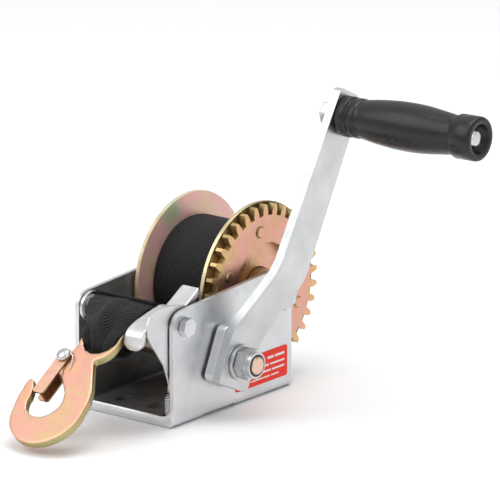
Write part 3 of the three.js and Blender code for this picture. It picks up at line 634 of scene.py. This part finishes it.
def tube(name, points, radius, sides=10):
    """A round wire along points, in metres, with closed ends."""
    path = [Vector(p) for p in points]
    bm = bmesh.new()
    rings = []
    normal = None
    for i, point in enumerate(path):
        ahead = path[min(i + 1, len(path) - 1)] - path[max(i - 1, 0)]
        tangent = ahead.normalized()
        if normal is None:
            normal = tangent.orthogonal().normalized()
        normal = (normal - tangent * normal.dot(tangent)).normalized()
        other = tangent.cross(normal)
        ring = []
        for k in range(sides):
            a = 2 * math.pi * k / sides
            ring.append(bm.verts.new(point + radius * (normal * math.cos(a) + other * math.sin(a))))
        rings.append(ring)
    for first, second in zip(rings, rings[1:]):
        for k in range(sides):
            j = (k + 1) % sides
            bm.faces.new((first[k], first[j], second[j], second[k]))
    bm.faces.new(rings[0])
    bm.faces.new(rings[-1])
    return finished(bm, name)


# Steps between two given points before the path is spaced evenly.
PATH_STEPS = 24


def smooth_path(points, count):
    """Points on a Catmull-Rom curve through the given ones, evenly spaced along its length."""
    fixed = [Vector(p) for p in points]
    fixed = [fixed[0] * 2 - fixed[1], *fixed, fixed[-1] * 2 - fixed[-2]]
    fine = []
    for a, b, c, d in zip(fixed, fixed[1:], fixed[2:], fixed[3:]):
        for i in range(PATH_STEPS):
            t = i / PATH_STEPS
            square = (2 * a - 5 * b + 4 * c - d) * t**2
            cube = (3 * b - a - 3 * c + d) * t**3
            fine.append(0.5 * ((2 * b) + (c - a) * t + square + cube))
    fine.append(fixed[-2])
    lengths = [0.0]
    for a, b in zip(fine, fine[1:]):
        lengths.append(lengths[-1] + (b - a).length)
    out = []
    k = 0
    for i in range(count):
        target = lengths[-1] * i / (count - 1)
        while k < len(fine) - 2 and lengths[k + 1] < target:
            k += 1
        span = lengths[k + 1] - lengths[k] or 1
        out.append(fine[k].lerp(fine[k + 1], min(1, (target - lengths[k]) / span)))
    return out, lengths[-1]


def grid_mesh(name, rows, columns, point, uv, wrap=False):
    """A sheet of quads: point(i, j) in metres, and uv(i, j) in metres of cloth."""
    verts = [point(i, j) for i in range(rows) for j in range(columns)]
    faces = []
    marks = []
    for i in range(rows - (0 if wrap else 1)):
        k = (i + 1) % rows
        for j in range(columns - 1):
            faces.append((i * columns + j, i * columns + j + 1, k * columns + j + 1, k * columns + j))
            marks.append((uv(i, j), uv(i, j + 1), uv(i + 1, j + 1), uv(i + 1, j)))
    mesh = bpy.data.meshes.new(name)
    mesh.from_pydata([tuple(v) for v in verts], [], faces)
    layer = mesh.uv_layers.new(name="cloth")
    loop = 0
    for corners in marks:
        for corner in corners:
            layer.data[loop].uv = corner
            loop += 1
    return mesh


def apply_modifiers(piece):
    """Makes the piece's modifiers part of its mesh, and shades that smooth."""
    graph = bpy.context.evaluated_depsgraph_get()
    mesh = bpy.data.meshes.new_from_object(piece.evaluated_get(graph))
    piece.modifiers.clear()
    piece.data = mesh
    shade(mesh, True)


# ---------------------------------------------------------------- sheet metal, castings and fasteners

# Each node's look, the width of its rounded edges, in mm, and the steps across them.
EDGES = {
    "frame": ("frame", 0.7, 3),
    "base_plate": ("frame", 0.5, 2),
    "tie_bolt": ("steel", 0.3, 2),
    "tie_tube": ("zinc", 0.3, 2),
    "tie_bush": ("steel", 0.3, 2),
    "drum_far_flange": ("flange", 0.8, 3),
    "drum_near_disc": ("disc", 0.8, 3),
    "drum_gear": ("gear", 0.45, 2),
    "drum_core": ("yellow", 0.3, 2),
    "drum_axle_bolt": ("steel", 0.4, 2),
    "drum_axle_nut": ("steel", 0.4, 2),
    "drum_spacer": ("steel", 0.3, 2),
    "drive_shaft": ("shaft", 0.5, 2),
    "pinion": ("steel", 0.4, 2),
    "shaft_bush_near": ("steel", 0.3, 2),
    "shaft_bush_far": ("steel", 0.3, 2),
    "shaft_collar": ("steel", 0.4, 2),
    "crank_arm": ("zinc", 0.9, 3),
    "crank_hub": ("cast", 0.9, 3),
    "crank_washer": ("steel", 0.3, 2),
    "crank_nut": ("steel", 0.35, 2),
    "grip_bolt": ("steel", 0.3, 2),
    "grip_nut": ("steel", 0.4, 2),
    "grip_washer": ("steel", 0.2, 2),
    "pawl_tail_plate": ("cast", 0.35, 2),
    "hook_latch": ("latch", 0.35, 2),
    "latch_pin": ("steel", 0.4, 2),
}
RIVETS = 6
RIVET_EDGE = ("yellow", 0.9, 3)

# Cast and forged pieces: their look, the size of the grid they are modelled on, in mm, and how often it
# is smoothed.
FORGED = {
    "pawl": ("cast", 0.55, 7),
    "hook": ("hook", 0.65, 10),
}


def forged(node, look, grid, smoothing):
    """A piece of the CAD node's shape with all its edges and corners well rounded."""
    piece = shell(node, look)
    remesh = piece.modifiers.new("grid", "REMESH")
    remesh.mode = "VOXEL"
    remesh.voxel_size = grid * MM
    smooth = piece.modifiers.new("smooth", "SMOOTH")
    smooth.factor = 0.5
    smooth.iterations = smoothing
    apply_modifiers(piece)


def build_metal():
    for node, (look, edge, segments) in EDGES.items():
        round_edges(shell(node, look), edge, segments)
    for node, (look, grid, smoothing) in FORGED.items():
        forged(node, look, grid, smoothing)
    look, edge, segments = RIVET_EDGE
    for i in range(1, RIVETS + 1):
        round_edges(shell(f"gear_rivet_{i}", look), edge, segments)


# ---------------------------------------------------------------- the lip of the base

LIP_STEPS = 14
LIP_SIDES = 10
# In mm: the frame's sheet, the outside of its bend, how far up the side plates the lip runs, how much
# sooner its inner edge starts to rise, how far it stands out, and how far its back is set in.
FRAME_SHEET = 3.2
FRAME_BEND = 5
LIP_TOP = 13
LIP_EARLY = 6
LIP_BULGE = 0.9
LIP_BACK = 0.3


def lip_edge(flat, bottom, side, top, square):
    """Half of the U's outline from its middle: along the base, round the bend and up the side plate."""
    points = [(flat * i / LIP_STEPS, bottom) for i in range(LIP_STEPS)]
    for i in range(LIP_STEPS + 1):
        turn = math.pi / 2 * i / LIP_STEPS
        points.append((flat + (side - flat) * math.sin(turn), square - (square - bottom) * math.cos(turn)))
    points.append((side, (square + top) / 2))
    points.append((side, top))
    return points


def build_lip():
    """The rounded front edge that the two layers of the base share."""
    low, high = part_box("frame")
    half = high.x / MM
    layers = (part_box("base_plate")[1].z - low.z) / MM
    flat = half - FRAME_BEND
    outer = lip_edge(flat, 0, half, LIP_TOP, FRAME_BEND)
    inner = lip_edge(flat - LIP_EARLY, layers, half - FRAME_SHEET, LIP_TOP, LIP_TOP - 1)
    rings = []
    last = len(outer) - 1
    for i in list(range(-last, 0)) + list(range(last + 1)):
        side = -1 if i < 0 else 1
        out_x, out_z = outer[abs(i)]
        in_x, in_z = inner[abs(i)]
        bulge = LIP_BULGE * min(1, (last - abs(i)) / 4)
        depth = bulge + LIP_BACK + 0.05
        ring = []
        for k in range(LIP_SIDES + 1):
            turn = math.pi * k / LIP_SIDES
            t = (1 - math.cos(turn)) / 2
            x = out_x + (in_x - out_x) * t
            z = out_z + (in_z - out_z) * t
            y = LIP_BACK - depth * math.sin(turn)
            ring.append((side * x * MM, low.y + y * MM, z * MM))
        rings.append(ring)
    count = LIP_SIDES + 1
    vertices = [point for ring in rings for point in ring]
    faces = []
    for i in range(len(rings) - 1):
        for k in range(count):
            after = (k + 1) % count
            here, there = i * count, (i + 1) * count
            faces.append((here + k, there + k, there + after, here + after))
    faces.append(tuple(range(count)))
    faces.append(tuple(range(len(vertices) - 1, len(vertices) - 1 - count, -1)))
    mesh = bpy.data.meshes.new("lip")
    mesh.from_pydata(vertices, [], faces)
    bm = bmesh.new()
    bm.from_mesh(mesh)
    place_piece(finished(bm, "base_lip"), "base_lip", "frame", "frame")


# ---------------------------------------------------------------- grip

# The grip's outline from its inner end: distance along it and radius, in mm.
GRIP_PROFILE = [
    (0, 4.5), (0, 12.2), (0.5, 12.9), (5.6, 12.9), (6.1, 12.5), (6.4, 11.6), (8.3, 11.6), (8.6, 12.3),
    (9, 12.7), (12.8, 12.7), (13.5, 12.3), (14.2, 12.1), (17.5, 12.7), (21.4, 13.3), (26, 13.9), (31, 14.4),
    (36, 14.85), (41.6, 15.2), (47, 15.33), (52, 15.35), (57, 15.2), (61.8, 14.95), (67, 14.4), (72, 13.8),
    (77, 13.2), (82, 12.6), (85.8, 12.25), (86.6, 12.5), (87.1, 13.3), (88, 14), (100.9, 14), (102, 13.6),
    (102.5, 12.9), (102.5, 9.8), (101.9, 9.3), (95, 9.2), (95, 4.5),
]


def build_grip():
    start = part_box("grip")[0].x / MM
    profile = [(start + x, r) for x, r in GRIP_PROFILE]
    mesh = lathe("grip_body", profile, GRIP, 96, closed=True)
    place_piece(mesh, "grip_body", "grip", "grip", ["grip"])


# ---------------------------------------------------------------- nuts


# The nylon ring's section: distance beyond the nut's end and radius, in mm.
NYLON_PROFILE = [(-1.2, 5.95), (0.05, 5.95), (0.35, 6.3), (0.3, 7.0), (-1.2, 7.4)]


def build_nut_ring():
    """The nylon ring in the crank's lock nut."""
    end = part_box("crank_nut")[1].x / MM
    profile = [(end + x, r) for x, r in NYLON_PROFILE]
    mesh = lathe("crank_nut_nylon", profile, SHAFT, 48, closed=True)
    place_piece(mesh, "crank_nut_nylon", "crank", "nylon")


# ---------------------------------------------------------------- latch pin and its spring

# The plane of the hook: unit vectors across it and from its eye to its bowl.
HOOK_ACROSS = Vector((0.9978, 0.0531, 0.0397))
HOOK_ALONG = Vector((0.0663, -0.7990, -0.5977))
# The spring's leg from the latch pin down the hook's spine: across, along and above the plane, in mm.
LATCH_WIRE = [
    (0.5, 1, 5.5), (3.6, -1.6, 5.4), (6.4, -0.8, 5.0), (7.7, 2.6, 4.1), (8.3, 6, 3.4), (8.9, 9, 2.9),
]
LATCH_WIRE_RADIUS = 0.45
# The pin's domed head: height above the plane and radius, in mm.
LATCH_CAP = [(4.9, 0), (4.9, 4.4), (5.6, 4.7), (6.5, 4.4), (7.3, 3.5), (7.8, 2), (7.95, 0)]


def build_latch_spring():
    pivot = JOINT["latch_open"]
    normal = Vector(HOOK_NORMAL)
    cap = lathe("latch_pin_cap", LATCH_CAP, Vector((0, 0, 0)), 40)
    turn = Vector((1, 0, 0)).rotation_difference(normal).to_matrix().to_4x4()
    cap.transform(Matrix.Translation(pivot) @ turn)
    place_piece(cap, "latch_pin_cap", BODY["latch_pin"], "steel")
    points = [pivot + (HOOK_ACROSS * a + HOOK_ALONG * b + normal * c) * MM for a, b, c in LATCH_WIRE]
    path, _ = smooth_path(points, 48)
    wire = tube("latch_wire", path, LATCH_WIRE_RADIUS * MM, 8)
    place_piece(wire, "latch_wire", BODY["latch_pin"], "steel")


# ---------------------------------------------------------------- pawl spring


# The spring's lower and upper end as y and z, the coil's and the wire's radius, and the eye's way into
# the pawl's tail from the upper end, all in mm.
SPRING_BOTTOM = (-55.5, 1.4)
SPRING_TOP = (-56.3, 25.4)
SPRING_RADIUS = 2.35
SPRING_WIRE = 0.5
SPRING_EYE = [(1.6, 0.2, 0.7), (2.9, 0, 0)]
SPRING_TURNS = 13
SPRING_STEPS = 14 * SPRING_TURNS


def build_spring():
    low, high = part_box("pawl_spring")
    x = (low.x + high.x) / 2 / MM - 0.3
    bottom = Vector((x, *SPRING_BOTTOM)) * MM
    top = Vector((x, *SPRING_TOP)) * MM
    points = [bottom, bottom.lerp(top, 0.1)]
    for i in range(SPRING_STEPS + 1):
        t = i / SPRING_STEPS
        radius = SPRING_RADIUS * MM * min(1, 6 * t + 0.15, 6 * (1 - t) + 0.15)
        a = 2 * math.pi * SPRING_TURNS * t
        centre = bottom.lerp(top, 0.19 + 0.6 * t)
        points.append(centre + Vector((radius * math.cos(a), radius * math.sin(a), 0)))
    points += [bottom.lerp(top, 0.88), top]
    points += [top + Vector(step) * MM for step in SPRING_EYE]
    mesh = tube("pawl_spring_coil", points, SPRING_WIRE * MM, 8)
    piece = new_piece(mesh, "pawl_spring_coil", "steel")
    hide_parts("pawl_spring")
    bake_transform(piece)


# ---------------------------------------------------------------- label


def rounded_outline(y0, z0, y1, z1, radius, steps=6):
    """A rectangle with rounded corners as (y, z) points."""
    corners = [
        (y1 - radius, z1 - radius, 0),
        (y0 + radius, z1 - radius, 90),
        (y0 + radius, z0 + radius, 180),
        (y1 - radius, z0 + radius, 270),
    ]
    points = []
    for cy, cz, start in corners:
        for i in range(steps + 1):
            a = math.radians(start + 90 * i / steps)
            points.append((cy + radius * math.cos(a), cz + radius * math.sin(a)))
    return points


def extruded(name, outlines, x0, x1):
    """Closed slabs between x0 and x1 with these (y, z) outlines, in metres."""
    bm = bmesh.new()
    for outline in outlines:
        back = [bm.verts.new((x0, y, z)) for y, z in outline]
        front = [bm.verts.new((x1, y, z)) for y, z in outline]
        count = len(outline)
        bm.faces.new(back[::-1])
        bm.faces.new(front)
        for i in range(count):
            j = (i + 1) % count
            bm.faces.new((back[i], back[j], front[j], front[i]))
    mesh = bpy.data.meshes.new(name)
    bm.to_mesh(mesh)
    bm.free()
    return mesh


# Bars in place of lettering: the height of a bar's foot, its gap from the rear edge, its length and height.
LABEL_BARS = [
    (14.9, 3, 10, 1.65),
    (14.9, 14.2, 6.5, 1.65),
    (10.6, 3, 15, 1.275),
    (10.6, 19.2, 9, 1.275),
    (6.8, 3, 13, 1.275),
    (6.8, 17.2, 12, 1.275),
    (3.2, 9, 8, 0.975),
    (3.2, 18.2, 20, 0.975),
]
LABEL_CORNER = 1.6
BAR_CORNER = 0.4
# How far the film's face lies inside the CAD label's, and how far the print stands out of the film.
FILM_INSET = 0.12
PRINT_RELIEF = 0.05


def build_label():
    low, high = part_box("label")
    face = high.x - FILM_INSET * MM
    base = rounded_outline(low.y, low.z, high.y, high.z, LABEL_CORNER * MM)
    mesh = extruded("label_film", [base], low.x, face)
    place_piece(mesh, "label_film", BODY["label"], "label", ["label"])
    shade(mesh, False)
    bars = []
    for foot, gap, length, height in LABEL_BARS:
        y1 = high.y - gap * MM
        z0 = low.z + foot * MM
        z1 = z0 + height * MM
        bars.append(rounded_outline(y1 - length * MM, z0, y1, z1, BAR_CORNER * MM, 3))
    relief = PRINT_RELIEF * MM
    marks = extruded("label_bars", bars, face - relief, face + relief)
    place_piece(marks, "label_bars", BODY["label"], "print")


# ---------------------------------------------------------------- webbing


def wobble(*terms):
    """A smooth, repeatable unevenness: a sum of sines of (value, amplitude, phase)."""
    return sum(amplitude * math.sin(value + phase) for value, amplitude, phase in terms)


# The winding in mm and steps: a layer's thickness, how far apart two layers are at the sides, and the
# steps across the outer layer and round the drum.
LAYER = 1.6
LAYER_GAP = 0.15
ROLL_ACROSS = 22
ROLL_ROWS = 160


def radius_of(node):
    low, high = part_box(node)
    return (high.z - low.z) / 2


def build_winding():
    """The roll of webbing, with the edges of its layers on both sides."""
    low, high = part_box("strap_winding")
    radius = radius_of("strap_winding")
    core = radius_of("drum_core")
    width = high.x - low.x
    centre = (low.x + high.x) / 2
    layer, gap = LAYER * MM, LAYER_GAP * MM
    columns = []
    layers = int((radius - core - 1 * MM) / layer)
    for k in range(layers):
        r = core + 0.5 * MM + k * layer
        edge = width / 2 - abs(wobble((k * 2.3, 0.5, 0.4), (k * 5.1, 0.3, 1.2))) * MM
        columns.append((-edge, r + gap))
        columns.append((-edge, r + layer - gap))
    edge = width / 2 - gap
    for j in range(ROLL_ACROSS + 1):
        t = 2 * j / ROLL_ACROSS - 1
        drop = 0.55 * MM * max(0, abs(t) - 0.9) / 0.1
        columns.append((edge * t, radius - 0.2 * MM - drop))
    mirrored = [(-x, r) for x, r in reversed(columns[: 2 * layers])]
    columns += mirrored
    lengths = [0.0]
    for (x0, r0), (x1, r1) in zip(columns, columns[1:]):
        lengths.append(lengths[-1] + math.hypot(x1 - x0, r1 - r0))

    def point(i, j):
        a = 2 * math.pi * i / ROLL_ROWS
        x, r = columns[j]
        share = max(0, (r - core) / (radius - core))
        rise = wobble((3 * a, 0.12, 0.3), (7 * a + x * 60, 0.06, 1.0), (x * 220, 0.05, 0.2)) * MM
        r = r + share * (rise - 0.15 * MM)
        return (centre + x, DRUM.y + r * math.cos(a), DRUM.z + r * math.sin(a))

    def uv(i, j):
        return (lengths[j], 2 * math.pi * i / ROLL_ROWS * radius)

    mesh = grid_mesh("strap_roll", ROLL_ROWS, len(columns), point, uv, wrap=True)
    place_piece(mesh, "strap_roll", "drum", "webbing", ["strap_winding"])


# Stations of the strap after the drum: y, z, width, middle x, drop of the left and right edges, fold depth.
STRAP_STATIONS = [
    (-44.2, 72.3, 47.0, -6.5, 0.0, 0.0, 0.1),
    (-49.2, 73.3, 47.0, -6.5, 0.3, 0.3, 0.2),
    (-55.5, 74.2, 47.0, -6.5, 2.6, 2.4, 0.5),
    (-62.5, 75.0, 46.5, -5.8, 8.0, 6.0, 0.9),
    (-70.5, 74.8, 43.0, -3.2, 13.0, 8.5, 1.3),
    (-78.5, 72.0, 38.4, -0.1, 14.0, 9.0, 1.6),
    (-85.5, 67.0, 33.4, 2.4, 9.0, 6.5, 1.7),
    (-90.3, 61.0, 27.6, 4.2, 3.5, 2.5, 1.7),
    (-91.8, 54.4, 22.0, 4.8, 1.0, 1.0, 1.7),
    (-88.5, 48.6, 23.0, 5.2, 0.5, 0.5, 1.7),
    (-81.8, 46.4, 27.0, 4.4, 0.5, 0.5, 1.5),
    (-74.0, 48.0, 30.0, 2.2, 1.0, 1.0, 1.2),
    (-67.0, 51.5, 33.0, -1.0, 1.0, 1.0, 1.0),
    (-61.5, 57.0, 36.0, -3.5, 1.0, 1.0, 0.8),
]
STRAP_THICKNESS = 1.7
STRAP_WIDTH = 50
# The strap's width between the flanges and its middle in x, the tie tube's radius, and the room left
# between the strap and what it touches, in mm.
WOUND_WIDTH = 47.0
WOUND_MIDDLE = -6.5
TIE_TUBE_RADIUS = 8
STRAP_ROOM = 0.3
STRAP_ROWS = 220
STRAP_COLUMNS = 57


def strap_route():
    """All stations: from the drum's underside over the tie tube, and then STRAP_STATIONS."""
    clear = STRAP_ROOM + STRAP_THICKNESS / 2
    under = radius_of("strap_winding") / MM + clear
    over = TIE_TUBE_RADIUS + clear
    drum_y, drum_z = DRUM.y / MM, DRUM.z / MM
    tie_y, tie_z = TIE.y / MM, TIE.z / MM
    slope = math.asin((under + over) / math.hypot(drum_y - tie_y, drum_z - tie_z))
    stations = []
    for extra in (0.5, 0.25, 0.0):
        a = -math.pi / 2 - slope + extra
        y = drum_y + under * math.cos(a)
        z = drum_z + under * math.sin(a)
        stations.append((y, z, WOUND_WIDTH, WOUND_MIDDLE, 0, 0, 0.0))
    return stations + STRAP_STATIONS


def build_strap():
    """The strap from the drum over the tie tube to the hook's eye and back, gathered in folds."""
    route = strap_route()
    rows, columns = STRAP_ROWS, STRAP_COLUMNS
    spine, length = smooth_path([(y * MM, z * MM, 0) for y, z, *_ in route], rows)
    knots = [Vector((y * MM, z * MM, 0)) for y, z, *_ in route]
    where = []
    k = 0
    for knot in knots:
        best = min(range(k, rows), key=lambda i: (spine[i] - knot).length)
        where.append(best)
        k = best

    def blended(i, index):
        for a, b, first, second in zip(where, where[1:], route, route[1:]):
            if i <= b or b == where[-1]:
                t = min(1, max(0, (i - a) / max(1, b - a)))
                t = t * t * (3 - 2 * t)
                return first[index] * (1 - t) + second[index] * t
        return route[-1][index]

    rolls = []
    for i in range(rows):
        values = [blended(i, index) for index in range(2, 7)]
        ahead = spine[min(i + 1, rows - 1)] - spine[max(i - 1, 0)]
        normal = Vector((-ahead.y, ahead.x, 0)).normalized() * -1
        rolls.append((spine[i], normal, values))

    def point(i, j):
        base, normal, (width, middle, left, right, fold) = rolls[i]
        u = 2 * j / (columns - 1) - 1
        s = i / (rows - 1)
        phase = 0.7 * math.sin(9 * s) + 0.5 * math.sin(23 * s + 1)
        broad = math.cos(2.2 * math.pi * u + phase) * 0.75
        narrow = math.sin(4.1 * math.pi * u - 1.4 * phase) * 0.25
        folds = fold * (broad + narrow + 0.45 * math.sin(46 * s + 2.5 * u))
        drop = left if u < 0 else right
        sag = drop * abs(u) ** 2.2
        tuck = 1 - 0.10 * min(1, drop / 12) * abs(u) ** 3
        offset = (folds * (1 - 0.35 * abs(u) ** 4) - sag) * MM
        x = (middle + 0.5 * width * u * tuck) * MM
        return (x, base.x + normal.x * offset, base.y + normal.y * offset)

    def uv(i, j):
        return (STRAP_WIDTH * MM * j / (columns - 1), length * i / (rows - 1))

    mesh = grid_mesh("strap_run", rows, columns, point, uv)
    piece = new_piece(mesh, "strap_run", "webbing")
    solid = piece.modifiers.new("thickness", "SOLIDIFY")
    solid.thickness = STRAP_THICKNESS * MM
    solid.offset = 0
    solid.use_even_offset = False
    apply_modifiers(piece)
    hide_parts("strap_span", "strap_loop")
    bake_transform(piece)


# ---------------------------------------------------------------- assembly

build_camera()
build_world()
build_lights()
build_metal()
build_lip()
build_grip()
build_nut_ring()
build_spring()
build_latch_spring()
build_label()
build_winding()
build_strap()
build_floor()
